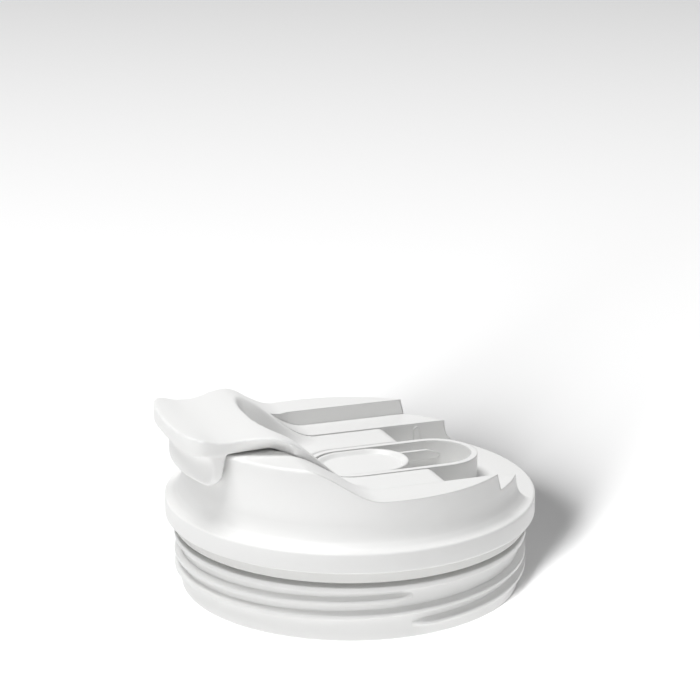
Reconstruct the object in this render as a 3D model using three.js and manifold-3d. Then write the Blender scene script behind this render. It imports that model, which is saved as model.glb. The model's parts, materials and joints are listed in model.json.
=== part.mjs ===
// Screw-in tumbler lid with a flip lever over the drinking hole and a sliding cover over the straw hole.
// Millimetres, +Z up. The origin is on the lid's axis, at the rim that the skirt stands on.
// +X runs from the thumb plate towards the open end of the recess, and the hinge lies along Y.
import * as THREE from "three";
import { mergeVertices } from "three/addons/utils/BufferGeometryUtils.js";
import Module from "manifold-3d";

const wasm = await Module();
wasm.setup();

// Clearances
const gap = 0.4;          // moving lever to the body, all round
const seatGap = 0.3;      // pieces that sit on or in each other

// Skirt, thread, groove and flange
const skirtRadius = 44.1;
const skirtWall = 3.3;
const rimChamfer = 0.6;
const threadRise = 1.7;   // thread and lip stand this far out of the skirt
const lipRadius = skirtRadius + threadRise;
const lipHeight = 1.4;
const lipSlope = 0.5;
const grooveDepth = 1.1;
const grooveRadius = skirtRadius - grooveDepth;
const grooveLowZ = 14.8;
const grooveStep = 0.3;   // the groove is this much higher than the seat on the cup
const seatInset = 0.3;
const flangeOverhang = 3.9;
const flangeRadius = skirtRadius + flangeOverhang;
const flangeLowZ = 19.15;
const flangeThickness = 5.25;
const flangeEdge = 0.5;
const threadLead = 7.5;
const threadStarts = 2;
const threadTurns = 1;
const threadFirstZ = 3.75;
const threadRoot = 2.6;
const threadCrest = 0.9;
const threadBuried = 0.6;
const threadFade = 0.1;
const threadEndRise = 0.1;
const threadEndWidth = 0.6;

// Shoulder and raised platform: how far inside the flange, and how high over its top
const shoulderCurve = [[0.3, -0.1], [1.4, 0.2], [2.8, 1.2], [3.5, 1.9], [4.1, 3.2], [4.43, 4.9], [4.6, 6.9]];
const shoulderInset = 5.25;
const platformInset = 5.6;
const platformRadius = flangeRadius - platformInset;
const bodyWall = 2.2;

// Heights of the steps
const deckRise = 6.8;
const shoulderRise = 11;
const platformRise = 18.75;

// Recess: an upper step and a lower channel, both open at the +X end
const stepHalfWidth = 33.1;
const stepCurveStart = -5.9;
const stepCurveEnd = -16.5;
const stepCurveCorner = new THREE.Vector2(-10, 31.45);
const channelHalfWidth = 23.8;
const bodyRampStart = -6.8;
const bodyRampRun = 18.2;

// Lever
const rampStart = -1.5;
const rampRun = 27;
const plateRise = 0.65;   // plate over the platform
const plateThickness = 4;
const plateOverhang = 6.9;
const plateTip = -platformRadius - plateOverhang;
const plateWaist = 19;
const sideStart = -19;
const rimHeight = 0.8;     // upright part of the rim, above the leaning side
const plateSideCurve = [[25.3, 4.1], [22.3, 3.3], [17.8, 1.7], [14.3, 0.4], [11, 0]];
const footSideCurve = [
  [28.3, 4.4], [27, 4.2], [26, 2.8], [25, 0.7], [23.8, -0.6], [22.3, -1.2], [19.3, -1.1], [14.3, -0.6], [11, 0],
];
const plateTipCurve = [[7.6, 19.3], [4.7, 19.2], [2.7, 17.9], [1.35, 15.2], [0.45, 10], [0, 0]];
const plateDish = 0.9;
const plateLift = 0.7;    // the plate's corners turn up
const plateLiftStart = 9;
const plateLiftRun = 6;
const armEndX = 19.3;
const valleyEnd = -28.4;
const valleyRound = 4.5;
const valleyFoot = -12;
const valleySteepness = 1.7;
const valleyHalfWidth = 13.8;
const valleySpread = 4.2;
const valleySpreadX = -23;
const valleySpreadRun = 18;
const valleyBlend = 2.6;
const stubRadius = 1.5;
const stubLength = 1.6;

// Finger pull under the plate's end
const pullDrop = 8.6;
const pullCorner = 4;
const pullLean = 1.5;
const pullThickness = 1.9;
const pullLip = 2;
const pullEdge = 0.5;
const pullCove = 3.8;

// Straw well
const wellHalfWidth = 11.1;
const wellWall = 1.65;
const wellLeftX = -0.2;
const wellRightX = 23.9;
const wellRimDrop = 0.1;
const wellFloorDrop = 1;
const ledgeDepth = 1.35;
const ledgeLow = 26.3;
const ledgeHigh = 28.85;
const ledgeStart = 6;
const ledgeShoulder = 25;
const ledgeTip = 28.6;
const ledgeNose = 1.2;
const ledgeEase = 0.4;
const strawHoleX = -1.2;
const strawHoleRadius = 4.6;
const ribX = 28.1;
const ribWidth = 1.8;
const ribProud = 0.4;
const ribDrop = 0.9;

// Straw slider
const sliderSideGap = 0.25;
const sliderEndGap = 0.6;
const sliderLength = 24.8;
const sliderDish = 1;
const sliderRim = 0.8;
const sliderDishSlope = 1;
const sliderFoot = 1.1;

// Soft pieces
const gasketHeight = 2.9;
const gasketRound = 0.5;
const sipHoleInset = 7.4;
const sipHoleX = sipHoleInset - platformRadius;
const sipHoleRadius = 4.75;
const plugHeadRadius = 5.2;
const plugHead = 1.25;
const plugDepth = 2.15;
const plugTaper = 1;
const plugEase = 0.45;
const sealThickness = 0.9;
const sealMargin = 2;
const sealReach = 4;

// Mesh fineness
const roundSteps = 72;
const holeSteps = 28;
const cornerSteps = 10;
const reliefStep = 1.9;
const reliefRows = 24;
const coreRows = 16;
const plateSideSteps = 16;
const plateTipSteps = 18;
const channelSkip = 10;
const beyond = 60;

// Heights and places that follow
const floorZ = flangeLowZ + flangeThickness;
const deckZ = floorZ + deckRise;
const shoulderZ = floorZ + shoulderRise;
const platformZ = floorZ + platformRise;
const plateLowZ = platformZ + plateRise;
const plateTopZ = plateLowZ + plateThickness;
const armLowZ = floorZ + gap;
const rampLowX = plateTip - 1;
const armRadius = (deckZ - armLowZ) / 2;
const hingeX = armEndX - armRadius;
const hingeZ = armLowZ + armRadius;
const leverHalfWidth = channelHalfWidth - gap;
const slotHalfWidth = wellHalfWidth + gap;
const ceilingDrop = bodyWall + gap;
const wellInner = wellHalfWidth - wellWall;
const wellRimZ = deckZ - wellRimDrop;
const wellFloorZ = floorZ - wellFloorDrop;

// White satin polypropylene, and the softer, greyer silicone of the seals
const mouldedWhite = new THREE.MeshStandardMaterial({ color: 0xf3f3f2, roughness: 0.42, metalness: 0 });
const siliconeWhite = new THREE.MeshStandardMaterial({ color: 0xd9d9d7, roughness: 0.6, metalness: 0 });

// A closed geometry becomes a solid that can be joined and cut
function solid(geometry) {
  const bare = geometry.clone();
  for (const name of Object.keys(bare.attributes)) {
    if (name !== "position") bare.deleteAttribute(name);
  }
  const merged = mergeVertices(bare, 1e-4);
  return new wasm.Manifold(new wasm.Mesh({
    numProp: 3,
    vertProperties: Float32Array.from(merged.attributes.position.array),
    triVerts: Uint32Array.from(merged.index.array),
  }));
}

// A solid goes back into a named three.js mesh
function piece(name, shape, material) {
  const cut = shape.getMesh();
  const geometry = new THREE.BufferGeometry();
  geometry.setAttribute("position", new THREE.BufferAttribute(Float32Array.from(cut.vertProperties), 3));
  geometry.setIndex(new THREE.BufferAttribute(Uint32Array.from(cut.triVerts), 1));
  geometry.computeVertexNormals();
  const mesh = new THREE.Mesh(geometry, material);
  mesh.name = name;
  return mesh;
}

// A closed (radius, height) outline turned about Z
function turned(outline, steps = roundSteps) {
  const points = outline.map(([radius, z]) => new THREE.Vector2(radius, z));
  const geometry = new THREE.LatheGeometry([...points, points[0]], steps);
  geometry.rotateX(Math.PI / 2);
  return solid(geometry);
}

// A plan outline raised from one height to another
function prism(shape, lowZ, highZ) {
  const geometry = new THREE.ExtrudeGeometry(shape, {
    depth: highZ - lowZ,
    bevelEnabled: false,
    curveSegments: cornerSteps,
  });
  geometry.translate(0, 0, lowZ);
  return solid(geometry);
}

// An outline in the XZ plane stretched along Y
function sideways(shape, lowY, highY) {
  const geometry = new THREE.ExtrudeGeometry(shape, {
    depth: highY - lowY,
    bevelEnabled: false,
    curveSegments: cornerSteps,
  });
  geometry.rotateX(Math.PI / 2);
  geometry.translate(0, highY, 0);
  return solid(geometry);
}

// X stations at an even step, and one last long stride over the flat end
function stations(lowX, highX, step, endX) {
  const places = [];
  for (let x = lowX; x < highX; x += step) places.push(x);
  return [...places, endX];
}

// A block on X stations whose lower and upper faces follow two height functions
function reliefBlock({ places, rows, halfWidth, low, high }) {
  const spans = places.length - 1;
  const geometry = new THREE.BoxGeometry(1, 1, 1, spans, rows, 1);
  const at = geometry.attributes.position;
  for (let i = 0; i < at.count; i += 1) {
    const x = places[Math.round((at.getX(i) + 0.5) * spans)];
    const y = at.getY(i) * 2 * halfWidth;
    at.setXYZ(i, x, y, at.getZ(i) < 0 ? low(x, y) : high(x, y));
  }
  return solid(geometry);
}

// A stadium outline between two centres on the X axis
function stadium(leftX, rightX, radius) {
  const shape = new THREE.Shape();
  shape.moveTo(leftX, -radius);
  shape.lineTo(rightX, -radius);
  shape.absarc(rightX, 0, radius, -Math.PI / 2, Math.PI / 2, false);
  shape.lineTo(leftX, radius);
  shape.absarc(leftX, 0, radius, Math.PI / 2, Math.PI * 1.5, false);
  return shape;
}

function rod(radius, lowY, highY, x, z, steps = holeSteps) {
  const geometry = new THREE.CylinderGeometry(radius, radius, highY - lowY, steps);
  geometry.translate(x, (lowY + highY) / 2, z);
  return solid(geometry);
}

function upright(radius, lowZ, highZ, x) {
  const geometry = new THREE.CylinderGeometry(radius, radius, highZ - lowZ, holeSteps);
  geometry.rotateX(Math.PI / 2);
  geometry.translate(x, 0, (lowZ + highZ) / 2);
  return solid(geometry);
}

// A plan outline from one side's points, mirrored across the X axis
function symmetric(side) {
  const mirrored = side.map(([x, y]) => [x, -y]).reverse();
  return new THREE.Shape([...side, ...mirrored].map(([x, y]) => new THREE.Vector2(x, y)));
}

const smooth = (value) => THREE.MathUtils.smoothstep(value, 0, 1);
const blend = THREE.MathUtils.lerp;

// The ramp that lever and channel share, from 0 on the deck to 1 on the plate
const rampShare = (x) => smooth((rampStart - x) / rampRun);
const rampZ = (x) => blend(deckZ, plateTopZ, rampShare(x));
const bodyRampZ = (x) => blend(shoulderZ, platformZ, smooth((bodyRampStart - x) / bodyRampRun));

// Depth of the scooped valley in the ramp, below the ramp's own height
function valleyDepth(x, y) {
  const along = THREE.MathUtils.clamp((valleyFoot - x) / (valleyFoot - valleyEnd), 0, 1);
  const floor = blend(deckZ, plateTopZ, along ** valleySteepness);
  const roundX = valleyEnd + valleyRound;
  let half = valleyHalfWidth + valleySpread * smooth((x - valleySpreadX) / valleySpreadRun);
  if (x < roundX) half = valleyHalfWidth * Math.sqrt(Math.max(0, 1 - ((roundX - x) / valleyRound) ** 2));
  const inside = 1 - smooth((Math.abs(y) - half + valleyBlend) / (2 * valleyBlend));
  return Math.max(0, rampZ(x) - floor) * inside;
}

// Shallow thumb dish in the plate, between the ramp's top and the tip, with raised corners
function dishDepth(x, y) {
  const rampTop = rampStart - rampRun;
  const along = THREE.MathUtils.clamp((rampTop - x) / (rampTop - plateTip), 0, 1);
  const towardsTip = smooth((plateTip + plateLiftStart - x) / plateLiftRun);
  const towardsSide = smooth(Math.abs(y) / plateWaist);
  return plateDish * Math.sin(Math.PI * along) ** 2 - plateLift * towardsTip * towardsSide;
}

const leverTop = (x, y) => rampZ(x) - valleyDepth(x, y) - dishDepth(x, y);
const leverLow = (x, y) => blend(armLowZ, plateLowZ, rampShare(x)) - valleyDepth(x, y);

// The lowest height within a reach of each place, so that slopes keep their distance too
function lowestNear(height, reach) {
  const around = [[0, 0], [reach, 0], [-reach, 0], [0, reach], [0, -reach]];
  return (x, y) => Math.min(...around.map(([stepX, stepY]) => height(x + stepX, y + stepY)));
}

const leverClear = lowestNear(leverLow, gap);
const channelFloor = (x, y) => leverClear(x, y) - gap;

// Lid body
function threadRidge(startAngle) {
  const steps = 64;
  const geometry = new THREE.BoxGeometry(1, 1, 1, steps, 1, 1);
  const at = geometry.attributes.position;
  for (let i = 0; i < at.count; i += 1) {
    const along = at.getX(i) + 0.5;
    const turn = along * threadTurns * 2 * Math.PI;
    const fromEnd = Math.min(turn, threadTurns * 2 * Math.PI - turn);
    const full = smooth(fromEnd / threadFade);
    const crest = at.getY(i) < 0;
    const side = at.getZ(i) * (crest ? threadCrest : threadRoot) * blend(threadEndWidth, 1, full);
    const proud = crest ? threadRise * blend(threadEndRise, 1, full) : -threadBuried;
    const radius = skirtRadius + proud;
    const angle = startAngle + turn;
    const z = threadFirstZ + threadLead * along * threadTurns + side;
    at.setXYZ(i, radius * Math.cos(angle), radius * Math.sin(angle), z);
  }
  return solid(geometry);
}

function bodyBlank() {
  const cove = new THREE.SplineCurve([...shoulderCurve, [shoulderInset, shoulderRise]].map(
    ([inset, rise]) => new THREE.Vector2(flangeRadius - inset, floorZ + rise),
  ));
  return turned([
    [0, 0],
    [skirtRadius - rimChamfer, 0],
    [skirtRadius, rimChamfer],
    [skirtRadius, grooveLowZ - lipHeight - lipSlope],
    [lipRadius, grooveLowZ - lipHeight],
    [lipRadius, grooveLowZ],
    [grooveRadius, grooveLowZ],
    [grooveRadius, flangeLowZ + grooveStep],
    [lipRadius + seatInset, flangeLowZ + grooveStep],
    [lipRadius + seatInset, flangeLowZ],
    [flangeRadius - flangeEdge, flangeLowZ],
    [flangeRadius, flangeLowZ + flangeEdge],
    [flangeRadius, floorZ - flangeEdge],
    ...cove.getPoints(14).map((point) => [point.x, point.y]),
    [platformRadius, platformZ],
    [platformRadius, platformZ + 1],
    [0, platformZ + 1],
  ]);
}

// Plan outline of the upper step, grown by a wall when the underside is cored
function stepOutline(grow) {
  const half = stepHalfWidth + grow;
  const inner = channelHalfWidth + grow;
  const corner = stepCurveCorner;
  const shape = new THREE.Shape();
  shape.moveTo(beyond, -half);
  shape.lineTo(beyond, half);
  shape.lineTo(stepCurveStart, half);
  shape.quadraticCurveTo(corner.x - grow, corner.y + grow, stepCurveEnd - grow, inner);
  shape.lineTo(stepCurveEnd - grow, -inner);
  shape.quadraticCurveTo(corner.x - grow, -corner.y - grow, stepCurveStart, -half);
  return shape;
}

// The lever's side between its arms and the plate's waist, at its rim
function rimSide() {
  const side = new THREE.SplineCurve([
    new THREE.Vector2(sideStart, leverHalfWidth),
    ...plateSideCurve.map(([inset, proud]) => new THREE.Vector2(plateTip + inset, plateWaist + proud)),
  ]);
  return side.getPoints(plateSideSteps).map((point) => [point.x, point.y]);
}

// The same side at its foot, moved outwards by grow without folding back, which the body's pocket follows
function footSide(grow) {
  const side = new THREE.SplineCurve(footSideCurve.map(
    ([inset, proud]) => new THREE.Vector2(plateTip + inset, plateWaist + proud),
  ));
  return side.getPoints(plateSideSteps).map((point, i) => {
    const along = side.getTangent(i / plateSideSteps);
    return [point.x + along.y * grow, point.y - along.x * grow];
  }).filter(([x], i, all) => all.slice(0, i).every(([before]) => x < before));
}

// The half width that a side's points give at one place
function halfAt(side, x) {
  const next = side.findIndex(([sideX]) => sideX <= x);
  if (next === 0) return side[0][1];
  if (next < 0) return side[side.length - 1][1];
  const [highX, highHalf] = side[next - 1];
  const [lowX, lowHalf] = side[next];
  return blend(lowHalf, highHalf, (x - lowX) / (highX - lowX));
}

// The space above the stepped surfaces, lowered by drop and widened by grow to core the underside
function bodyRecess(grow, drop, rows, stride) {
  const high = () => beyond;
  const channelLow = lowestNear(channelFloor, grow);
  const places = stations(-beyond, 0, reliefStep * stride, beyond);
  const above = reliefBlock({ places, rows: 1, halfWidth: beyond, low: (x) => bodyRampZ(x) - drop, high });
  const step = reliefBlock({
    places,
    rows: 1,
    halfWidth: stepHalfWidth + grow + 1,
    low: (x) => rampZ(x) - drop,
    high,
  }).intersect(prism(stepOutline(grow), 0, beyond + 1));
  const channel = reliefBlock({
    places: stations(rampLowX + channelSkip * reliefStep, 0, reliefStep * stride, beyond),
    rows,
    halfWidth: leverHalfWidth + 1 + grow,
    low: (x, y) => channelLow(x, y) - drop,
    high,
  });
  const walls = symmetric([
    [beyond + 1, channelHalfWidth + grow],
    ...footSide(gap + grow),
    [-beyond, plateWaist + gap + grow],
  ]);
  return above.add(step).add(channel.intersect(prism(walls, 0, beyond + 1)));
}

function ledge(side) {
  const shape = new THREE.Shape();
  const middle = (ledgeLow + ledgeHigh) / 2;
  shape.moveTo(ledgeStart, ledgeLow);
  shape.lineTo(ledgeTip - ledgeNose, ledgeLow);
  shape.lineTo(ledgeTip, middle - ledgeEase);
  shape.lineTo(ledgeShoulder, ledgeHigh);
  shape.lineTo(ledgeStart, ledgeHigh);
  shape.closePath();
  const inner = wellInner - ledgeDepth;
  const outer = wellInner + wellWall / 2;
  return side > 0 ? sideways(shape, inner, outer) : sideways(shape, -outer, -inner);
}

function snapRib(side) {
  const shape = new THREE.Shape();
  const half = ribWidth / 2;
  const topZ = deckZ - ribDrop;
  shape.moveTo(ribX - half, floorZ - 0.5);
  shape.lineTo(ribX + half, floorZ - 0.5);
  shape.lineTo(ribX + half, topZ - half);
  shape.absarc(ribX, topZ - half, half, 0, Math.PI, false);
  shape.closePath();
  const inner = channelHalfWidth - ribProud;
  const outer = channelHalfWidth + 1;
  return side > 0 ? sideways(shape, inner, outer) : sideways(shape, -outer, -inner);
}

function lidBody() {
  let body = bodyBlank();
  for (let start = 0; start < threadStarts; start += 1) {
    body = body.add(threadRidge(-Math.PI / 2 + (start * 2 * Math.PI) / threadStarts));
  }
  const innerRadius = skirtRadius - skirtWall;
  const coreTop = platformRadius - bodyWall;
  const core = turned([
    [0, -1],
    [innerRadius, -1],
    [innerRadius, floorZ],
    [coreTop, shoulderZ],
    [coreTop, platformZ + 1],
    [0, platformZ + 1],
  ]);
  body = body.subtract(bodyRecess(0, 0, reliefRows, 1));
  body = body.subtract(core.subtract(bodyRecess(bodyWall, ceilingDrop, coreRows, 2)));
  const well = prism(stadium(wellLeftX, wellRightX, wellHalfWidth), floorZ - bodyWall, wellRimZ);
  body = body.add(well);
  body = body.subtract(prism(stadium(wellLeftX, wellRightX, wellInner), wellFloorZ, beyond));
  for (const side of [-1, 1]) {
    body = body.add(ledge(side)).add(snapRib(side));
    const socketEnd = channelHalfWidth + stubLength - gap + seatGap;
    const socket = side > 0
      ? rod(stubRadius + seatGap, channelHalfWidth - 1, socketEnd, hingeX, hingeZ)
      : rod(stubRadius + seatGap, -socketEnd, 1 - channelHalfWidth, hingeX, hingeZ);
    body = body.subtract(socket);
  }
  body = body.subtract(upright(strawHoleRadius, grooveLowZ, deckZ, strawHoleX));
  return body.subtract(upright(sipHoleRadius, shoulderZ, plateTopZ, sipHoleX));
}

// Flip lever
function leverOutline() {
  const tip = new THREE.SplineCurve(plateTipCurve.map(
    ([inset, half]) => new THREE.Vector2(plateTip + inset, half),
  ));
  const round = tip.getPoints(plateTipSteps).map((point) => [point.x, point.y]);
  return symmetric([[hingeX, leverHalfWidth], ...rimSide(), ...round]);
}

// Cuts the lever's side back below its rim, so that it leans in to the body's surface
function sideCut() {
  const foot = footSide(0);
  const rim = rimSide();
  const endX = foot[foot.length - 1][0];
  const steps = Math.ceil((foot[0][0] - endX) / reliefStep) * 2;
  const geometry = new THREE.BoxGeometry(1, 1, 1, steps, 1, 2);
  const at = geometry.attributes.position;
  for (let i = 0; i < at.count; i += 1) {
    const x = blend(endX, foot[0][0], at.getX(i) + 0.5);
    const level = Math.round(at.getZ(i) * 2) + 1;
    const inner = level === 2 ? halfAt(rim, x) : halfAt(foot, x);
    const z = [0, bodyRampZ(x) + plateRise, rampZ(x) - rimHeight][level];
    at.setXYZ(i, x, at.getY(i) < 0 ? inner : beyond, z);
  }
  return solid(geometry);
}

// The pull hangs from the plate's end and follows the body's round side
function fingerPull() {
  const lowZ = plateLowZ - pullDrop;
  const innerTop = platformRadius + 2 * gap;
  const innerLow = innerTop + pullLean;
  const outer = innerLow + pullThickness;
  const lip = outer + pullLip;
  const cove = new THREE.QuadraticBezierCurve(
    new THREE.Vector2(outer, plateLowZ - pullCove),
    new THREE.Vector2(outer, plateLowZ - 0.6),
    new THREE.Vector2(lip, plateLowZ + 0.6),
  );
  const ring = turned([
    [innerTop, plateLowZ + 1],
    [innerTop, plateLowZ],
    [innerLow, lowZ + pullEdge],
    [innerLow + pullEdge, lowZ],
    [outer - pullEdge, lowZ],
    [outer, lowZ + pullEdge],
    ...cove.getPoints(5).map((point) => [point.x, point.y]),
    [lip, plateLowZ + 1],
  ]);
  const half = plateWaist;
  const end = new THREE.Shape();
  end.moveTo(-half, plateTopZ);
  end.lineTo(-half, lowZ + pullCorner);
  end.absarc(-half + pullCorner, lowZ + pullCorner, pullCorner, Math.PI, Math.PI * 1.5, false);
  end.absarc(half - pullCorner, lowZ + pullCorner, pullCorner, Math.PI * 1.5, Math.PI * 2, false);
  end.lineTo(half, plateTopZ);
  end.closePath();
  const reach = new THREE.ExtrudeGeometry(end, {
    depth: beyond / 2,
    bevelEnabled: false,
    curveSegments: cornerSteps,
  });
  reach.rotateX(Math.PI / 2);
  reach.rotateZ(Math.PI / 2);
  reach.translate(-beyond, 0, 0);
  return ring.intersect(solid(reach)).intersect(prism(leverOutline(), 0, beyond));
}

function flipLever() {
  const slab = reliefBlock({
    places: stations(rampLowX, 0, reliefStep, hingeX + 1),
    rows: reliefRows,
    halfWidth: leverHalfWidth + 1,
    low: leverLow,
    high: leverTop,
  });
  const leaning = sideCut();
  let lever = slab.intersect(prism(leverOutline(), 0, beyond));
  lever = lever.subtract(leaning).subtract(leaning.mirror([0, 1, 0]));
  lever = lever.add(rod(armRadius, -leverHalfWidth, leverHalfWidth, hingeX, hingeZ));
  lever = lever.add(fingerPull());
  lever = lever.subtract(prism(stadium(wellLeftX, beyond, slotHalfWidth), 0, beyond));
  for (const side of [-1, 1]) {
    const root = leverHalfWidth - 1;
    const end = leverHalfWidth + stubLength;
    lever = lever.add(side > 0
      ? rod(stubRadius, root, end, hingeX, hingeZ)
      : rod(stubRadius, -end, -root, hingeX, hingeZ));
  }
  const socketTop = platformZ + seatGap + plugHead + seatGap;
  return lever.subtract(upright(plugHeadRadius + seatGap, platformZ, socketTop, sipHoleX));
}

// Straw slider: oval top with a shallow dish, neck between the ledges, foot under them
function strawSlider() {
  const radius = wellInner - sliderSideGap;
  const leftX = wellLeftX - wellInner + sliderEndGap + radius;
  const rightX = leftX + sliderLength - 2 * radius;
  const topZ = wellRimZ - 0.1;
  const topLow = ledgeHigh + seatGap;
  const footHigh = ledgeLow - seatGap;
  const neck = wellInner - ledgeDepth - seatGap;
  const top = prism(stadium(leftX, rightX, radius), topLow, topZ);
  const stem = prism(stadium(leftX, rightX, neck), footHigh - sliderFoot / 2, topLow + 0.5);
  const foot = prism(stadium(leftX, rightX, radius - 0.1), footHigh - sliderFoot, footHigh);
  const dishFloor = radius - sliderRim - sliderDishSlope;
  const dish = new THREE.ExtrudeGeometry(stadium(leftX, rightX, dishFloor), {
    depth: sliderDish,
    bevelEnabled: false,
    curveSegments: cornerSteps,
  });
  const at = dish.attributes.position;
  for (let i = 0; i < at.count; i += 1) {
    const nearestX = THREE.MathUtils.clamp(at.getX(i), leftX, rightX);
    const raised = at.getZ(i) > 0;
    const spread = raised ? 1 + sliderDishSlope / dishFloor : 1;
    at.setXYZ(
      i,
      nearestX + (at.getX(i) - nearestX) * spread,
      at.getY(i) * spread,
      topZ - sliderDish + (raised ? sliderDish + 0.02 : 0),
    );
  }
  return top.add(stem).add(foot).subtract(solid(dish));
}

function sliderSeal() {
  const radius = strawHoleRadius + sealMargin;
  const lowZ = wellFloorZ + seatGap;
  return prism(stadium(strawHoleX, strawHoleX + sealReach, radius), lowZ, lowZ + sealThickness);
}

function gasketRing() {
  const inner = grooveRadius + seatGap;
  const outer = lipRadius;
  const highZ = flangeLowZ - seatGap;
  const lowZ = highZ - gasketHeight;
  return turned([
    [inner, lowZ],
    [outer - gasketRound, lowZ],
    [outer, lowZ + gasketRound],
    [outer, highZ - gasketRound],
    [outer - gasketRound, highZ],
    [inner, highZ],
  ]);
}

function spoutPlug() {
  const headLow = platformZ + seatGap;
  const geometry = new THREE.LatheGeometry([
    new THREE.Vector2(0, platformZ - plugDepth),
    new THREE.Vector2(sipHoleRadius - plugEase - plugTaper, platformZ - plugDepth),
    new THREE.Vector2(sipHoleRadius - plugEase, headLow),
    new THREE.Vector2(plugHeadRadius, headLow),
    new THREE.Vector2(plugHeadRadius, headLow + plugHead),
    new THREE.Vector2(0, headLow + plugHead),
  ], holeSteps);
  geometry.rotateX(Math.PI / 2);
  geometry.translate(sipHoleX, 0, 0);
  return solid(geometry);
}

const group = new THREE.Group();
group.add(piece("lid_body", lidBody(), mouldedWhite));
group.add(piece("flip_lever", flipLever(), mouldedWhite));
group.add(piece("straw_slider", strawSlider(), mouldedWhite));
group.add(piece("gasket_ring", gasketRing(), siliconeWhite));
group.add(piece("spout_plug", spoutPlug(), siliconeWhite));
group.add(piece("slider_seal", sliderSeal(), siliconeWhite));

export default group;
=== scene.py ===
"""Looks of a screw-in tumbler lid: its moulded pieces, its seals and a plain studio."""

import json
import math

import bpy
from bpy.props import FloatProperty, IntProperty, PointerProperty, StringProperty
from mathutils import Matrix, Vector


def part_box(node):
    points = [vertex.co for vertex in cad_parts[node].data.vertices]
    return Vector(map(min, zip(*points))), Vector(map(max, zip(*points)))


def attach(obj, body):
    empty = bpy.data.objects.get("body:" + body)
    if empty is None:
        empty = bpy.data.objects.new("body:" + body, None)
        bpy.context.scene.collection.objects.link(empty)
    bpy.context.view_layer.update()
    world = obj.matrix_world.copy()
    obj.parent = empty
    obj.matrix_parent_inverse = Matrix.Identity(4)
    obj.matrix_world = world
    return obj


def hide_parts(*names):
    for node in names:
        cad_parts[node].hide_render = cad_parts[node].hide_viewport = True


bl_info = {
    "name": "Tumbler Lid",
    "version": (1, 0, 0),
    "blender": (4, 5, 0),
    "location": "View3D > Sidebar > Tumbler Lid",
    "description": "Models the lid's mouldings and seals around its packed frame",
    "category": "Add Mesh",
}

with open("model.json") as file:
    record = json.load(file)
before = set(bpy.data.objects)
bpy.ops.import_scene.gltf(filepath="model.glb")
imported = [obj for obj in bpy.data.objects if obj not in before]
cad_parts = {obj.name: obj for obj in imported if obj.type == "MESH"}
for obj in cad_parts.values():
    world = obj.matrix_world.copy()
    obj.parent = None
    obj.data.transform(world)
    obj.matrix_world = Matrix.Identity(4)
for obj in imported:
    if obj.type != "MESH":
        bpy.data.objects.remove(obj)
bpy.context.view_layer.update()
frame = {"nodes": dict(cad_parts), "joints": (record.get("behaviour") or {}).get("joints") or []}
MM = 0.001

# Sizes that the pieces share, in millimetres, on the same axes as the frame
BODY_LOW, BODY_HIGH = [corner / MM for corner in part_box("lid_body")]
LEVER_LOW, LEVER_HIGH = [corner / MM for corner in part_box("flip_lever")]
SLIDER_LOW, SLIDER_HIGH = [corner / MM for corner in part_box("straw_slider")]
GASKET_LOW, GASKET_HIGH = [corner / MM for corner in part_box("gasket_ring")]
HINGE = Vector(frame["joints"][0]["pos_m"]) / MM


def linear(hex_colour):
    """An sRGB hex value such as F4F4F2 as linear RGBA."""
    channels = []
    for start in (0, 2, 4):
        value = int(hex_colour[start:start + 2], 16) / 255
        if value <= 0.04045:
            channels.append(value / 12.92)
        else:
            channels.append(((value + 0.055) / 1.055) ** 2.4)
    return (*channels, 1.0)


class LidSizes(bpy.types.PropertyGroup):
    """Sizes of the moulded body."""

    flange_radius: FloatProperty(
        name="Flange radius", description="Outer radius of the band above the gasket",
        default=BODY_HIGH.x * MM, unit="LENGTH")
    skirt_radius: FloatProperty(
        name="Skirt radius", description="Root radius of the threaded skirt",
        default=0.0441, unit="LENGTH")
    thread_lead: FloatProperty(
        name="Thread lead", description="Rise of each thread ridge in one turn",
        default=0.0075, unit="LENGTH")
    thread_starts: IntProperty(
        name="Thread starts", description="Number of thread ridges", default=2, min=1, max=4)
    edge_radius: FloatProperty(
        name="Edge radius", description="Rounding of the moulded edges",
        default=0.0005, unit="LENGTH")


class LeverSizes(bpy.types.PropertyGroup):
    """Sizes of the flip lever."""

    grain: FloatProperty(
        name="Voxel size", description="Fineness of the lever's blended surface",
        default=0.00036, unit="LENGTH")
    plate_dish: FloatProperty(
        name="Thumb dish", description="Depth of the shallow dish in the thumb plate",
        default=0.0009, unit="LENGTH")


class LidColours(bpy.types.PropertyGroup):
    """Colours of the materials and the floor, as sRGB hex values."""

    moulded: StringProperty(name="Moulded white", description="Body, lever and slider", default="F1F1F0")
    silicone: StringProperty(name="Silicone", description="Gasket and seals", default="E4E4E2")
    floor: StringProperty(name="Floor", description="Studio floor, as it is seen", default="FAFAFA")
    floor_bounce: StringProperty(
        name="Floor bounce", description="Studio floor, as it lights the piece", default="E4E4E4")


def deselect():
    if bpy.context.object and bpy.context.object.mode == "EDIT":
        bpy.ops.object.mode_set(mode="OBJECT")
    bpy.ops.object.select_all(action="DESELECT")


def only(obj):
    deselect()
    obj.select_set(True)
    bpy.context.view_layer.objects.active = obj


def edit_all(obj):
    only(obj)
    bpy.ops.object.mode_set(mode="EDIT")
    bpy.ops.mesh.select_all(action="SELECT")


def close_up(obj):
    """Merges seams and poles, closes open ends and turns the faces outwards."""
    edit_all(obj)
    bpy.ops.mesh.remove_doubles(threshold=0.0005)
    bpy.ops.mesh.select_all(action="DESELECT")
    bpy.ops.mesh.select_non_manifold(extend=False, use_wire=False, use_multi_face=False,
                                     use_non_contiguous=False, use_verts=False)
    bpy.ops.mesh.edge_face_add()
    bpy.ops.mesh.select_all(action="SELECT")
    bpy.ops.mesh.normals_make_consistent(inside=False)
    bpy.ops.object.mode_set(mode="OBJECT")
    return obj


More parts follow.
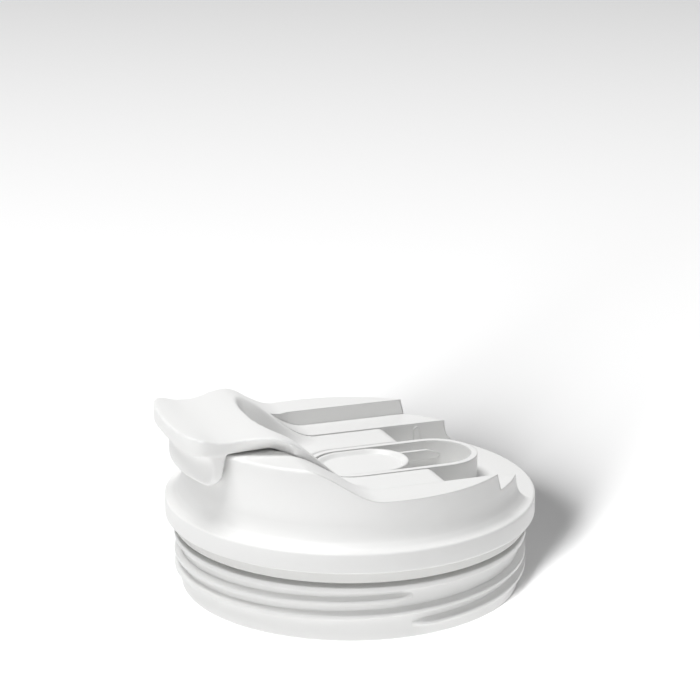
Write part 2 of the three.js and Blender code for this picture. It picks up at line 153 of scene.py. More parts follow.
def apply_modifiers(obj):
    only(obj)
    for modifier in list(obj.modifiers):
        bpy.ops.object.modifier_apply(modifier=modifier.name)
    return obj


def boolean(obj, other, how):
    """Joins, cuts or keeps the common part, and removes the other piece."""
    modifier = obj.modifiers.new(how, "BOOLEAN")
    modifier.operation = how
    modifier.solver = "EXACT"
    modifier.object = other
    apply_modifiers(obj)
    bpy.data.objects.remove(other)
    return obj


def join(obj, other):
    return boolean(obj, other, "UNION")


def cut(obj, other):
    return boolean(obj, other, "DIFFERENCE")


def weld(obj, distance):
    """Merges the doubled points that many cuts leave, and closes the slivers between them."""
    edit_all(obj)
    bpy.ops.mesh.remove_doubles(threshold=distance)
    bpy.ops.mesh.fill_holes(sides=0)
    bpy.ops.object.mode_set(mode="OBJECT")
    return obj


def ring_of(outline, name):
    """A closed wire through the outline's points, given as (x, y, z)."""
    deselect()
    bpy.ops.mesh.primitive_circle_add(vertices=len(outline), fill_type="NOTHING")
    obj = bpy.context.object
    obj.name = name
    for vertex, place in zip(obj.data.vertices, outline):
        vertex.co = place
    return obj


def turned(name, outline, steps=240):
    """A closed (radius, height) outline spun about the lid's axis."""
    obj = ring_of([(radius, 0, z) for radius, z in outline], name)
    edit_all(obj)
    bpy.ops.mesh.spin(steps=steps, dupli=False, angle=2 * math.pi, center=(0, 0, 0), axis=(0, 0, 1))
    return close_up(obj)


def raised(name, outline, low, high):
    """A plan outline of (x, y) points drawn up from one height to another."""
    obj = ring_of([(x, y, low) for x, y in outline], name)
    edit_all(obj)
    bpy.ops.mesh.edge_face_add()
    bpy.ops.mesh.extrude_region_move(TRANSFORM_OT_translate={"value": (0, 0, high - low)})
    return close_up(obj)


def across(name, outline, low, high):
    """An outline of (x, z) points drawn along Y from one place to another."""
    obj = ring_of([(x, low, z) for x, z in outline], name)
    edit_all(obj)
    bpy.ops.mesh.edge_face_add()
    bpy.ops.mesh.extrude_region_move(TRANSFORM_OT_translate={"value": (0, high - low, 0)})
    return close_up(obj)


def relief(name, places, rows, half_width, low, high):
    """A block on X places whose lower and upper faces follow two height functions."""
    deselect()
    spans = len(places) - 1
    bpy.ops.mesh.primitive_grid_add(x_subdivisions=spans, y_subdivisions=rows, size=1)
    obj = bpy.context.object
    obj.name = name
    for vertex in obj.data.vertices:
        x = places[round((vertex.co.x + 0.5) * spans)]
        y = vertex.co.y * 2 * half_width
        vertex.co = (x, y, low(x, y))
    under = len(obj.data.vertices)
    edit_all(obj)
    bpy.ops.mesh.extrude_region_move(TRANSFORM_OT_translate={"value": (0, 0, 1)})
    bpy.ops.object.mode_set(mode="OBJECT")
    for vertex in obj.data.vertices[under:]:
        vertex.co.z = high(vertex.co.x, vertex.co.y)
    return close_up(obj)


def swept(name, steps, section, place):
    """A tube whose section runs round and whose length follows place(along, section point)."""
    deselect()
    around = len(section)
    bpy.ops.mesh.primitive_grid_add(x_subdivisions=steps, y_subdivisions=around, size=1)
    obj = bpy.context.object
    obj.name = name
    for vertex in obj.data.vertices:
        point = section[round((vertex.co.y + 0.5) * around) % around]
        vertex.co = place(vertex.co.x + 0.5, point)
    return close_up(obj)


def rod(name, radius, low, high, x, z, segments=64):
    """A round bar along Y."""
    deselect()
    bpy.ops.mesh.primitive_cylinder_add(
        vertices=segments, radius=radius, depth=high - low,
        location=(x, (low + high) / 2, z), rotation=(math.pi / 2, 0, 0))
    obj = bpy.context.object
    obj.name = name
    bpy.ops.object.transform_apply(location=True, rotation=True, scale=True)
    return obj


def upright(name, radius, low, high, x, segments=96):
    """A round bar along Z."""
    deselect()
    bpy.ops.mesh.primitive_cylinder_add(
        vertices=segments, radius=radius, depth=high - low, location=(x, 0, (low + high) / 2))
    obj = bpy.context.object
    obj.name = name
    bpy.ops.object.transform_apply(location=True, rotation=True, scale=True)
    return obj


def to_metres(obj):
    """The finished piece in metres, with its object at the origin."""
    only(obj)
    obj.scale = (MM, MM, MM)
    bpy.ops.object.transform_apply(location=True, rotation=True, scale=True)
    return obj


def smooth_by_angle(obj, degrees):
    only(obj)
    bpy.ops.object.shade_smooth_by_angle(angle=math.radians(degrees))
    return obj


def settle(obj, material, body, node):
    """Gives a finished piece its material and its body, and hides the node that it stands for."""
    obj.data.materials.clear()
    obj.data.materials.append(material)
    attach(obj, body)
    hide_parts(node)
    return obj


def arc(centre, radius, start, end, steps):
    """Points on an arc, angles in degrees."""
    points = []
    for step in range(steps + 1):
        angle = math.radians(start + (end - start) * step / steps)
        points.append((centre[0] + radius * math.cos(angle), centre[1] + radius * math.sin(angle)))
    return points


def bend(points, corner, end, steps=10):
    """Continues a list of points along a quadratic curve."""
    start = points[-1]
    for step in range(1, steps + 1):
        t = step / steps
        points.append(tuple(
            (1 - t) ** 2 * a + 2 * t * (1 - t) * b + t ** 2 * c for a, b, c in zip(start, corner, end)))
    return points


def through(places, per_span=6):
    """A smooth curve through the places (Catmull-Rom)."""
    ends = [places[0], *places, places[-1]]
    points = []
    for i in range(1, len(ends) - 2):
        a, b, c, d = ends[i - 1:i + 3]
        for step in range(per_span):
            t = step / per_span
            points.append(tuple(
                0.5 * (2 * q + (r - p) * t + (2 * p - 5 * q + 4 * r - s) * t ** 2
                       + (3 * q - p - 3 * r + s) * t ** 3)
                for p, q, r, s in zip(a, b, c, d)))
    return [*points, places[-1]]


def smooth(value):
    value = min(1.0, max(0.0, value))
    return value * value * (3 - 2 * value)


def mix(a, b, t):
    return a + (b - a) * t


def stadium(left, right, radius, steps=40):
    return arc((right, 0), radius, -90, 90, steps) + arc((left, 0), radius, 90, 270, steps)


def stations(low, high, step, end):
    count = int((high - low) / step)
    return [low + i * step for i in range(count + 1)] + [end]


# Heights and widths that several pieces share
GAP = 0.4
PLATE_GAP = 0.65
PLATE_THICKNESS = 4
FLOOR = 24.4
DECK = 31.2
SHOULDER = 35.4
PLATFORM = BODY_HIGH.z
PLATE_LOW = PLATFORM + PLATE_GAP
PLATE_TOP = PLATE_LOW + PLATE_THICKNESS
PLATE_HALF = 19
ARM_LOW = FLOOR + GAP
CHANNEL_HALF = 23.8
LEVER_HALF = CHANNEL_HALF - GAP
STEP_HALF = 33.1
WELL_HALF = 11.1
WELL_INNER = WELL_HALF - 1.65
WELL_LEFT = -0.2
WELL_RIGHT = 23.9
RAMP_START = -1.5
RAMP_RUN = 27
BODY_RAMP_START = -6.8
BODY_RAMP_RUN = 18.2
PLATFORM_RADIUS = 42.4
SIP_X = -35

# Further out than any piece, for cutting blocks that run clean through
BEYOND = 70


def ramp_share(x):
    return smooth((RAMP_START - x) / RAMP_RUN)


def ramp(x):
    return mix(DECK, PLATE_TOP, ramp_share(x))


def body_ramp(x):
    return mix(SHOULDER, PLATFORM, smooth((BODY_RAMP_START - x) / BODY_RAMP_RUN))


def valley(x, y):
    """Depth of the scooped valley below the lever's ramp."""
    start = -12
    end = -28.4
    end_radius = 4.5
    round_x = end + end_radius
    along = min(1.0, max(0.0, (start - x) / (start - end)))
    floor = mix(DECK, PLATE_TOP, along ** 1.7)
    narrow = 13.8
    widening = 4.2
    half = narrow + widening * smooth((x + 23) / 18)
    if x < round_x:
        half = narrow * math.sqrt(max(0.0, 1 - ((round_x - x) / end_radius) ** 2))
    wall = 5.2
    inside = 1 - smooth((abs(y) - half + wall / 2) / wall)
    return max(0.0, ramp(x) - floor) * inside


def lever_low(x, y):
    return mix(ARM_LOW, PLATE_LOW, ramp_share(x)) - valley(x, y)


def lowest_near(height, reach):
    """The lowest height within a reach, so that slopes keep their distance too."""
    around = ((0, 0), (reach, 0), (-reach, 0), (0, reach), (0, -reach))
    return lambda x, y: min(height(x + dx, y + dy) for dx, dy in around)


def channel_floor(x, y):
    return lowest_near(lever_low, GAP)(x, y) - GAP


def rim_side():
    """The lever's side between its arms and the plate's waist, at its rim."""
    return through([(-19, LEVER_HALF)] + [
        (LEVER_LOW.x + inset, PLATE_HALF + proud)
        for inset, proud in ((25.3, 4.1), (22.3, 3.3), (17.8, 1.7), (14.3, 0.4), (11, 0))], 5)


def foot_side(grow):
    """The same side at its foot, moved outwards by grow, which the pocket in the body follows."""
    side = through([
        (LEVER_LOW.x + inset, PLATE_HALF + proud)
        for inset, proud in ((28.3, 4.4), (27, 4.2), (26, 2.8), (25, 0.7), (23.8, -0.6), (22.3, -1.2),
                             (19.3, -1.1), (14.3, -0.6), (11, 0))], 4)
    moved = []
    for i, (x, y) in enumerate(side):
        before = side[max(0, i - 1)]
        after = side[min(len(side) - 1, i + 1)]
        along = Vector((after[0] - before[0], after[1] - before[1])).normalized()
        place = (x + along.y * grow, y - along.x * grow)
        # Where the outline turns in, moved points would fold back on themselves
        if not moved or place[0] < moved[-1][0]:
            moved.append(place)
    return moved


def half_at(side, x):
    """The half width that a side's points give at one place."""
    for (high_x, high_half), (low_x, low_half) in zip(side, side[1:]):
        if low_x <= x <= high_x:
            return mix(low_half, high_half, (x - low_x) / (high_x - low_x))
    return side[0][1] if x > side[0][0] else side[-1][1]


def step_outline(grow):
    """Plan of the step beside the channel, which curves in to the channel's wall."""
    half = STEP_HALF + grow
    inner = CHANNEL_HALF + grow
    side = bend([(-5.9, half)], (-10 - grow, 31.45 + grow), (-16.5 - grow, inner), 16)
    mirrored = [(x, -y) for x, y in reversed(side)]
    return [(BEYOND, -half), (BEYOND, half), *side, *mirrored]


def recess_parts(grow, drop, pitch, rows):
    """The space above the body's stepped surfaces, as three blocks."""
    # Past the ramp the first block lifts clear of the platform, so that no two faces coincide
    lift = 0.3
    lift_start = -26
    lift_run = 4

    def high(x, y):
        return BEYOND

    def top(x, y):
        return body_ramp(x) - drop + lift * smooth((lift_start - x) / lift_run)

    places = stations(-BEYOND + 10, 0, pitch, BEYOND)
    above = relief("above", places, 1, BEYOND, top, high)
    step = relief("step", places, 1, STEP_HALF + grow + 1, lambda x, y: ramp(x) - drop, high)
    boolean(step, raised("step_plan", step_outline(grow), 0, BEYOND + 1), "INTERSECT")
    channel_low = lowest_near(channel_floor, grow) if grow else channel_floor
    channel = relief(
        "channel", stations(-31, 0, pitch, BEYOND), rows, LEVER_HALF + 1 + grow,
        lambda x, y: channel_low(x, y) - drop, high)
    side = [(BEYOND + 1, CHANNEL_HALF + grow), *foot_side(GAP + grow),
            (-BEYOND, PLATE_HALF + GAP + grow)]
    plan = side + [(x, -y) for x, y in reversed(side)]
    boolean(channel, raised("channel_plan", plan, 0, BEYOND + 1), "INTERSECT")
    return [above, step, channel]


def body_outline(sizes):
    """Half section of the body before its recesses are cut."""
    skirt = sizes.skirt_radius / MM
    flange = sizes.flange_radius / MM
    lip = 45.8
    groove = 43
    flange_low = 19.15
    seat_high = flange_low + 0.3
    edge_round = 0.6
    lip_round = 0.2
    flange_round = 0.5
    platform_round = 0.8
    shoulder = through([
        (flange - 1.4, FLOOR + 0.1), (flange - 2.1, FLOOR + 0.45), (flange - 2.8, FLOOR + 1.1),
        (flange - 3.5, FLOOR + 1.9), (flange - 4.1, FLOOR + 3.2), (flange - 4.43, FLOOR + 4.9),
        (flange - 4.6, DECK), (flange - 5.25, SHOULDER), (PLATFORM_RADIUS, 39.4),
        (PLATFORM_RADIUS, PLATFORM - platform_round)], 6)
    return [
        (0, 0),
        *arc((skirt - edge_round, edge_round), edge_round, -90, 0, 5),
        (skirt, 12.9),
        *arc((lip - lip_round, 13.55), lip_round, -60, 0, 3),
        *arc((lip - lip_round, 14.6), lip_round, 0, 90, 3),
        (groove, 14.8),
        (groove, seat_high),
        (lip + 0.3, seat_high),
        (lip + 0.3, flange_low),
        *arc((flange - flange_round, flange_low + flange_round), flange_round, -90, 0, 5),
        *arc((flange - edge_round, FLOOR - edge_round), edge_round, 0, 82, 6),
        *shoulder,
        *arc((PLATFORM_RADIUS - platform_round, PLATFORM - platform_round), platform_round, 6, 90, 6),
        (0, PLATFORM),
    ]


def thread_ridge(sizes, start):
    """One right-hand ridge of one turn, thin and pointed at its ends."""
    skirt = sizes.skirt_radius / MM
    lead = sizes.thread_lead / MM
    crest = 1.7
    first_z = 3.75
    run_out = 0.1
    end_height = 0.08
    end_width = 0.6
    # The ridge's section: outwards as a share of the crest (inwards in millimetres), then along the axis
    section = [(-0.5, -1.22), (0.0, -1.1), (0.85, -0.58), (0.97, -0.46), (1.0, -0.28),
               (1.0, 0.28), (0.97, 0.46), (0.85, 0.58), (0.0, 1.1), (-0.5, 1.22)]

    def place(along, point):
        turn = along * 2 * math.pi
        full = smooth(min(turn, 2 * math.pi - turn) / run_out)
        out, side = point
        rise = out * crest * mix(end_height, 1, full) if out > 0 else out
        radius = skirt + rise
        angle = start + turn
        z = first_z + lead * along + side * mix(end_width, 1, full)
        return (radius * math.cos(angle), radius * math.sin(angle), z)

    return swept("thread_ridge", 256, section, place)


def mirror_pair(make):
    return [make(-1), make(1)]


def on_side(name, outline, inner, outer, side):
    """An outline of (x, z) points drawn along Y between two distances from the middle."""
    if side > 0:
        return across(name, outline, inner, outer)
    return across(name, outline, -outer, -inner)


def ledge(side):
    """Guide that holds the slider's foot down, on one wall of the straw well."""
    outline = [(6, 26.3), (27.0, 26.3), (28.2, 26.7), (28.6, 27.15), (28.3, 27.6),
               (25.6, 28.7), (25, 28.85), (6, 28.85)]
    return on_side("ledge", outline, WELL_INNER - 1.35, WELL_INNER + 0.8, side)


def snap_rib(side):
    """Upright rib on the channel's wall."""
    top = DECK - 0.9
    half = 0.9
    middle = 28.1
    outline = [(middle - half, FLOOR - 0.5), (middle + half, FLOOR - 0.5),
               *arc((middle, top - half), half, 0, 180, 16)]
    return on_side("snap_rib", outline, CHANNEL_HALF - 0.4, CHANNEL_HALF + 1, side)


class LID_OT_body(bpy.types.Operator):
    """Model the lid's body: skirt, thread, flange, shoulder, recess and straw well"""

    bl_idname = "lid.body"
    bl_label = "Lid Body"

    def execute(self, context):
        sizes = context.scene.lid_sizes
        body = turned("body_moulding", body_outline(sizes))
        for start in range(sizes.thread_starts):
            join(body, thread_ridge(sizes, math.radians(-90 + 360 * start / sizes.thread_starts)))
        hollow = 40.8
        hollow_top = 40.2
        core = turned("core", [
            (0, -1), (hollow, -1), (hollow, FLOOR), (hollow_top, SHOULDER),
            (hollow_top, PLATFORM + 1), (0, PLATFORM + 1)], 120)
        # The hollow keeps its distance from the recess, and needs only a coarse surface
        for block in recess_parts(grow=2.2, drop=2.6, pitch=1.5, rows=16):
            cut(core, block)
        cut(body, core)
        for block in recess_parts(grow=0, drop=0, pitch=0.75, rows=64):
            cut(body, block)
        join(body, raised("well", stadium(WELL_LEFT, WELL_RIGHT, WELL_HALF), FLOOR - 2.2, DECK - 0.1))
        cut(body, raised("well_inside", stadium(WELL_LEFT, WELL_RIGHT, WELL_INNER), FLOOR - 1, BEYOND))
        for part in mirror_pair(ledge) + mirror_pair(snap_rib):
            join(body, part)
        socket_end = CHANNEL_HALF + 1.5
        socket_radius = 1.8
        cut(body, rod("socket", socket_radius, CHANNEL_HALF - 1, socket_end, HINGE.x, HINGE.z))
        cut(body, rod("socket", socket_radius, -socket_end, 1 - CHANNEL_HALF, HINGE.x, HINGE.z))
        cut(body, upright("straw_hole", 4.6, 14, DECK, -1.2))
        cut(body, upright("sip_hole", 4.75, PLATFORM - 10, PLATFORM + 2, SIP_X))
        weld(body, 0.003)
        smooth_by_angle(to_metres(body), 32)
        settle(body, moulded_material(context), "lid", "lid_body")
        return {"FINISHED"}


def plate_outline():
    """Plan outline of the lever, from the hinge round the thumb plate."""
    tip = through([
        (LEVER_LOW.x + inset, half)
        for inset, half in ((7.6, 19.3), (4.7, 19.2), (2.7, 17.9), (1.35, 15.2), (0.45, 10), (0, 0))], 8)
    side = [(HINGE.x, LEVER_HALF), *rim_side(), *tip]
    return side + [(x, -y) for x, y in reversed(side[:-1])]


def side_cut(side):
    """Cuts the lever's side back below its rim, so that it leans in to the body's surface."""
    foot = foot_side(0)
    rim = rim_side()
    rim_height = 0.8

    def place(along, point):
        outer, level = point
        x = mix(foot[-1][0], foot[0][0], along)
        inner = half_at(rim if level == 2 else foot, x)
        z = (0, body_ramp(x) + PLATE_GAP, ramp(x) - rim_height)[level]
        return (x, side * (BEYOND if outer else inner), z)

    return swept("side_cut", 60, [(0, 0), (0, 1), (0, 2), (1, 2), (1, 0)], place)


def finger_pull():
    """Pull under the plate's end, hollowed for a fingertip, following the body's round side."""
    low = PLATE_LOW - 8.6
    inner_top = PLATFORM_RADIUS + 2 * GAP
    inner_low = inner_top + 1.5
    outer = inner_low + 1.9
    lip = outer + 2
    outline = [(inner_top, PLATE_LOW + 1), (inner_top, PLATE_LOW)]
    outline += [(inner_low, low + 0.5), (inner_low + 0.5, low), (outer - 0.5, low), (outer, low + 0.5)]
    outline.append((outer, PLATE_LOW - 3.8))
    bend(outline, (outer, PLATE_LOW - 0.6), (lip, PLATE_LOW + 0.6), 10)
    outline.append((lip, PLATE_LOW + 1))
    ring = turned("finger_pull", outline, 300)
    bottom_round = 4
    corner = PLATE_HALF - bottom_round
    reach = [(-PLATE_HALF, PLATE_TOP), *arc((-corner, low + bottom_round), bottom_round, 180, 270, 14),
             *arc((corner, low + bottom_round), bottom_round, 270, 360, 14), (PLATE_HALF, PLATE_TOP)]
    end = ring_of([(-30, y, z) for y, z in reach], "pull_end")
    edit_all(end)
    bpy.ops.mesh.edge_face_add()
    bpy.ops.mesh.extrude_region_move(TRANSFORM_OT_translate={"value": (-30, 0, 0)})
    boolean(ring, close_up(end), "INTERSECT")
    return boolean(ring, raised("pull_plan", plate_outline(), 0, BEYOND), "INTERSECT")


def soften(obj, voxel, rounds):
    """Remeshes the joined solid evenly and rounds its edges as a mould does."""
    remesh = obj.modifiers.new("even", "REMESH")
    remesh.mode = "VOXEL"
    remesh.voxel_size = voxel
    remesh.adaptivity = 0
    relax = obj.modifiers.new("round", "SMOOTH")
    relax.factor = 0.5
    relax.iterations = rounds
    return apply_modifiers(obj)


class LID_OT_lever(bpy.types.Operator):
    """Model the flip lever: thumb plate, finger pull, valley, arms and hinge stubs"""

    bl_idname = "lid.lever"
    bl_label = "Flip Lever"

    def execute(self, context):
        sizes = context.scene.lever_sizes
        dish = sizes.plate_dish / MM
        ramp_top = RAMP_START - RAMP_RUN
        corner_lift = 0.7
        stub_radius = 1.5

        def top(x, y):
            along = min(1.0, max(0.0, (ramp_top - x) / (ramp_top - LEVER_LOW.x)))
            lift = corner_lift * smooth((LEVER_LOW.x + 9 - x) / 6) * smooth(abs(y) / PLATE_HALF)
            return ramp(x) - valley(x, y) - dish * math.sin(math.pi * along) ** 2 + lift

        places = stations(LEVER_LOW.x - 1, 0, 0.7, HINGE.x + 1)
        lever = relief("lever_moulding", places, 70, LEVER_HALF + 1, lever_low, top)
        boolean(lever, raised("lever_plan", plate_outline(), 0, BEYOND), "INTERSECT")
        for part in mirror_pair(side_cut):
            cut(lever, part)
        join(lever, rod("knuckle", (DECK - ARM_LOW) / 2, -LEVER_HALF, LEVER_HALF, HINGE.x, HINGE.z))
        join(lever, finger_pull())
        cut(lever, raised("slot", stadium(WELL_LEFT, BEYOND, WELL_HALF + GAP), 0, BEYOND))
        join(lever, rod("stub", stub_radius, LEVER_HALF - 1, LEVER_HIGH.y, HINGE.x, HINGE.z))
        join(lever, rod("stub", stub_radius, LEVER_LOW.y, 1 - LEVER_HALF, HINGE.x, HINGE.z))
        cut(lever, upright("plug_socket", 5.5, PLATFORM, PLATFORM + 1.85, SIP_X))
        soften(lever, sizes.grain / MM, 4)
        only(lever)
        bpy.ops.object.shade_smooth()
        to_metres(lever)
        settle(lever, moulded_material(context), "lever", "flip_lever")
        return {"FINISHED"}


class LID_OT_slider(bpy.types.Operator):
    """Model the straw slider: dished oval top, neck and foot"""

    bl_idname = "lid.slider"
    bl_label = "Straw Slider"

    def execute(self, context):
        radius = SLIDER_HIGH.y
        left = SLIDER_LOW.x + radius
        right = SLIDER_HIGH.x - radius
        top = SLIDER_HIGH.z
        dish_floor = radius - 1.8
        dish_flare = 1.1
        slider = raised("slider_moulding", stadium(left, right, radius), 29.15, top)
        dish = raised("dish", stadium(left, right, dish_floor), top - 1, top + 0.1)
        for vertex in dish.data.vertices:
            if vertex.co.z > top:
                middle = min(right, max(left, vertex.co.x))
                vertex.co.x = middle + (vertex.co.x - middle) * (1 + dish_flare / dish_floor)
                vertex.co.y *= 1 + dish_flare / dish_floor
        cut(slider, dish)
        neck = WELL_INNER - 1.65
        join(slider, raised("neck", stadium(left, right, neck), 25.5, 29.6))
        join(slider, raised("foot", stadium(left, right, radius - 0.1), SLIDER_LOW.z, SLIDER_LOW.z + 1.1))
        soften(slider, 0.2, 3)
        only(slider)
        bpy.ops.object.shade_smooth()
        to_metres(slider)
        settle(slider, moulded_material(context), "slider", "straw_slider")
        return {"FINISHED"}


class LID_OT_seals(bpy.types.Operator):
    """Model the gasket and finish the hidden silicone seals"""

    bl_idname = "lid.seals"
    bl_label = "Seals"

    def execute(self, context):
        low = GASKET_LOW.z
        high = GASKET_HIGH.z
        outer = GASKET_HIGH.x
        inner = 43.3
        edge = 0.6
        outline = [(inner, low), *arc((outer - edge, low + edge), edge, -90, 0, 6),
                   *arc((outer - edge, high - edge), edge, 0, 90, 6), (inner, high)]
        gasket = turned("gasket_band", outline, 240)
        smooth_by_angle(to_metres(gasket), 40)
        silicone = silicone_material(context)
        settle(gasket, silicone, "lid", "gasket_ring")
        for node in ("spout_plug", "slider_seal"):
            seal = frame["nodes"][node]
            seal.data.materials.clear()
            seal.data.materials.append(silicone)
        return {"FINISHED"}


def add_node(tree, kind, settings=None, links=None):
    """Adds a shader node, sets its properties and sockets, and links its inputs."""
    node = tree.nodes.new(kind)
    for name, value in (settings or {}).items():
        if name in node.inputs:
            node.inputs[name].default_value = value
        else:
            setattr(node, name, value)
    for name, source in (links or {}).items():
        tree.links.new(source, node.inputs[name])
    return node


def new_material(name):
    material = bpy.data.materials.new(name)
    material.use_nodes = True
    material.node_tree.nodes.clear()
    return material


def moulded_material(context):
    """White polypropylene, injection moulded in a fine-sparked tool: satin, with a faint grain."""
    name = "moulded_polypropylene"
    if name in bpy.data.materials:
        return bpy.data.materials[name]
    material = new_material(name)
    tree = material.node_tree
    place = add_node(tree, "ShaderNodeTexCoord").outputs["Object"]
    # Sparked grain of about 0.15 mm
    grain = add_node(tree, "ShaderNodeTexNoise", {"Scale": 6500.0, "Detail": 2.0}, {"Vector": place})
    edge = add_node(tree, "ShaderNodeBevel", {"samples": 6, "Radius": context.scene.lid_sizes.edge_radius})
    bump = add_node(
        tree, "ShaderNodeBump", {"Strength": 0.04, "Distance": 0.00002},
        {"Height": grain.outputs["Fac"], "Normal": edge.outputs["Normal"]})
    # Flow marks and cooling give the satin a slightly uneven gloss over tens of millimetres
    cloud = add_node(tree, "ShaderNodeTexNoise", {"Scale": 55.0, "Detail": 2.0}, {"Vector": place})
    gloss = add_node(
        tree, "ShaderNodeMapRange", {"To Min": 0.36, "To Max": 0.44}, {"Value": cloud.outputs["Fac"]})
    base = linear(context.scene.lid_colours.moulded)
    tint = add_node(
        tree, "ShaderNodeMapRange", {"To Min": 0.985, "To Max": 1.0}, {"Value": cloud.outputs["Fac"]})
    colour = add_node(tree, "ShaderNodeMix", {"data_type": "RGBA", "blend_type": "MULTIPLY"})
    colour.inputs[0].default_value = 1.0
    colour.inputs[6].default_value = base
    tree.links.new(tint.outputs[0], colour.inputs[7])
    shader = add_node(
        tree, "ShaderNodeBsdfPrincipled", {"IOR": 1.49},
        {"Base Color": colour.outputs[2], "Roughness": gloss.outputs[0], "Normal": bump.outputs["Normal"]})
    add_node(tree, "ShaderNodeOutputMaterial", {}, {"Surface": shader.outputs[0]})
    return material


def silicone_material(context):
    """Milky silicone rubber, compression moulded: matte and slightly greyer than the plastic."""
    name = "moulded_silicone"
    if name in bpy.data.materials:
        return bpy.data.materials[name]
    material = new_material(name)
    tree = material.node_tree
    place = add_node(tree, "ShaderNodeTexCoord").outputs["Object"]
    # Dusty bloom a few millimetres wide
    bloom = add_node(tree, "ShaderNodeTexNoise", {"Scale": 320.0, "Detail": 3.0}, {"Vector": place})
    gloss = add_node(
        tree, "ShaderNodeMapRange", {"To Min": 0.52, "To Max": 0.66}, {"Value": bloom.outputs["Fac"]})
    bump = add_node(
        tree, "ShaderNodeBump", {"Strength": 0.05, "Distance": 0.00003}, {"Height": bloom.outputs["Fac"]})
    shader = add_node(
        tree, "ShaderNodeBsdfPrincipled",
        {"IOR": 1.41, "Base Color": linear(context.scene.lid_colours.silicone)},
        {"Roughness": gloss.outputs[0], "Normal": bump.outputs["Normal"]})
    add_node(tree, "ShaderNodeOutputMaterial", {}, {"Surface": shader.outputs[0]})
    return material


def background_rays(tree):
    """1 for the rays that see the studio itself, straight on, in gloss or through glass."""
    rays = add_node(tree, "ShaderNodeLightPath")
    seen = rays.outputs["Is Camera Ray"]
    for kind in ("Is Glossy Ray", "Is Transmission Ray"):
        either = add_node(tree, "ShaderNodeMath", {"operation": "ADD", "use_clamp": True})
        tree.links.new(seen, either.inputs[0])
        tree.links.new(rays.outputs[kind], either.inputs[1])
        seen = either.outputs[0]
    return seen


def floor_material(context):
    """Plain pale studio floor that looks near white, keeps its shadow and throws back less light."""
    material = new_material("studio_floor")
    tree = material.node_tree
    colours = context.scene.lid_colours
    shown = add_node(tree, "ShaderNodeMix", {"data_type": "RGBA"})
    tree.links.new(background_rays(tree), shown.inputs[0])
    shown.inputs[6].default_value = linear(colours.floor_bounce)
    shown.inputs[7].default_value = linear(colours.floor)
    paint = add_node(tree, "ShaderNodeBsdfDiffuse", {}, {"Color": shown.outputs[2]})
    add_node(tree, "ShaderNodeOutputMaterial", {}, {"Surface": paint.outputs[0]})
    return material


def studio_world():
    world = bpy.data.worlds.new("studio")
    bpy.context.scene.world = world
    world.use_nodes = True
    tree = world.node_tree
    tree.nodes.clear()
    fill = add_node(tree, "ShaderNodeBackground", {"Color": (1, 1, 1, 1), "Strength": 0.19})
    white = add_node(tree, "ShaderNodeBackground", {"Color": (1, 1, 1, 1), "Strength": 1.0})
    both = add_node(tree, "ShaderNodeMixShader", {}, {"Fac": background_rays(tree)})
    tree.links.new(fill.outputs[0], both.inputs[1])
    tree.links.new(white.outputs[0], both.inputs[2])
    add_node(tree, "ShaderNodeOutputWorld", {}, {"Surface": both.outputs[0]})


def area_light(name, place, target, size, power):
    deselect()
    bpy.ops.object.light_add(type="AREA", location=place)
    light = bpy.context.object
    light.name = name
    light.data.shape = "RECTANGLE"
    light.data.size, light.data.size_y = size
    light.data.energy = power
    light.rotation_euler = (Vector(target) - Vector(place)).to_track_quat("-Z", "Y").to_euler()
    return light


def linked_to(obj, name, state):
    """A collection that names which objects a light reaches."""
    collection = bpy.data.collections.new(name)
    collection.objects.link(obj)
    collection.collection_objects[0].light_linking.link_state = state
    return collection


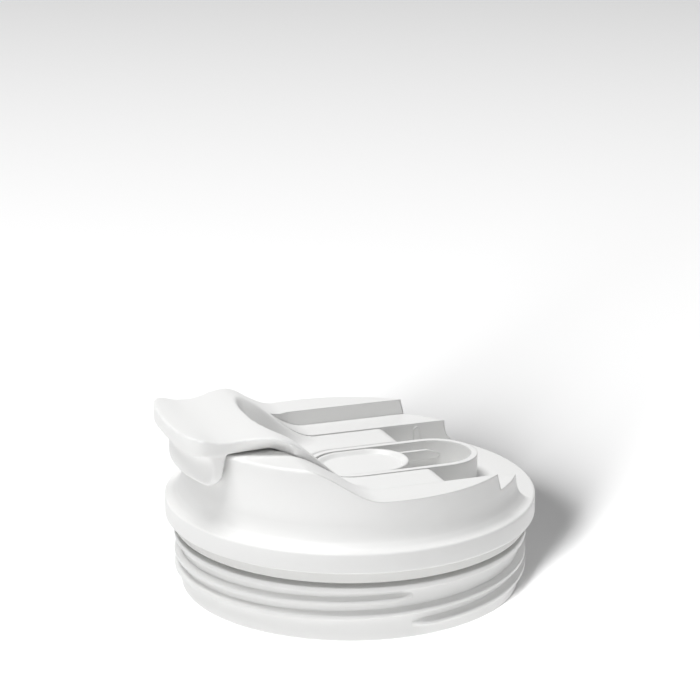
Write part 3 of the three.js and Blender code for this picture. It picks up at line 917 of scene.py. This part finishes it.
class LID_OT_stage(bpy.types.Operator):
    """Set the floor, the light and the camera at the photograph's angle"""

    bl_idname = "lid.stage"
    bl_label = "Stage"

    def execute(self, context):
        deselect()
        bpy.ops.mesh.primitive_plane_add(size=8)
        floor = context.object
        floor.name = "studio_floor"
        floor.data.materials.append(floor_material(context))
        studio_world()
        # The floor and the piece are lit apart, so that the long shadow stays as soft as in the photograph
        floor_only = linked_to(floor, "floor_only", "INCLUDE")
        all_but_floor = linked_to(floor, "all_but_floor", "EXCLUDE")
        window = area_light("window", (-2.6, -2.9, 1.25), (0, 0, 0.02), (0.7, 2.0), 530)
        window.light_linking.receiver_collection = floor_only
        sky = area_light("sky", (0.3, -0.2, 2.0), (0, 0, 0), (2.0, 2.0), 6)
        sky.light_linking.receiver_collection = floor_only
        soft_box = area_light("soft_box", (-0.3, 0.02, 1.0), (0, 0, 0.03), (0.45, 0.45), 8.6)
        soft_box.light_linking.receiver_collection = all_but_floor
        card = area_light("front_card", (-0.6, -0.85, 0.06), (0, 0, 0.03), (1.5, 0.12), 2.3)
        card.light_linking.receiver_collection = all_but_floor
        deselect()
        bpy.ops.object.camera_add(location=(-0.1863, -0.5061, 0.21793))
        camera = context.object
        camera.name = "camera"
        camera.rotation_euler = (math.radians(90 - 16.19), 0, math.radians(-20.214))
        camera.data.sensor_width = 36
        camera.data.lens = 113.14
        context.scene.camera = camera
        context.scene.view_settings.view_transform = "Standard"
        return {"FINISHED"}


class LID_PT_panel(bpy.types.Panel):
    """Lists the lid's pieces"""

    bl_idname = "LID_PT_panel"
    bl_label = "Tumbler Lid"
    bl_space_type = "VIEW_3D"
    bl_region_type = "UI"
    bl_category = "Tumbler Lid"

    def draw(self, context):
        column = self.layout.column()
        for operator in OPERATORS:
            column.operator(operator.bl_idname)
        for group in (context.scene.lid_sizes, context.scene.lever_sizes, context.scene.lid_colours):
            for name in group.__annotations__:
                column.prop(group, name)


OPERATORS = (LID_OT_stage, LID_OT_body, LID_OT_lever, LID_OT_slider, LID_OT_seals)
CLASSES = (LidSizes, LeverSizes, LidColours, *OPERATORS, LID_PT_panel)


def register():
    for cls in CLASSES:
        bpy.utils.register_class(cls)
    bpy.types.Scene.lid_sizes = PointerProperty(type=LidSizes)
    bpy.types.Scene.lever_sizes = PointerProperty(type=LeverSizes)
    bpy.types.Scene.lid_colours = PointerProperty(type=LidColours)


def unregister():
    del bpy.types.Scene.lid_colours
    del bpy.types.Scene.lever_sizes
    del bpy.types.Scene.lid_sizes
    for cls in reversed(CLASSES):
        bpy.utils.unregister_class(cls)


def main():
    register()
    bpy.ops.lid.stage()
    bpy.ops.lid.body()
    bpy.ops.lid.lever()
    bpy.ops.lid.slider()
    bpy.ops.lid.seals()
    deselect()


if __name__ == "__main__":
    main()
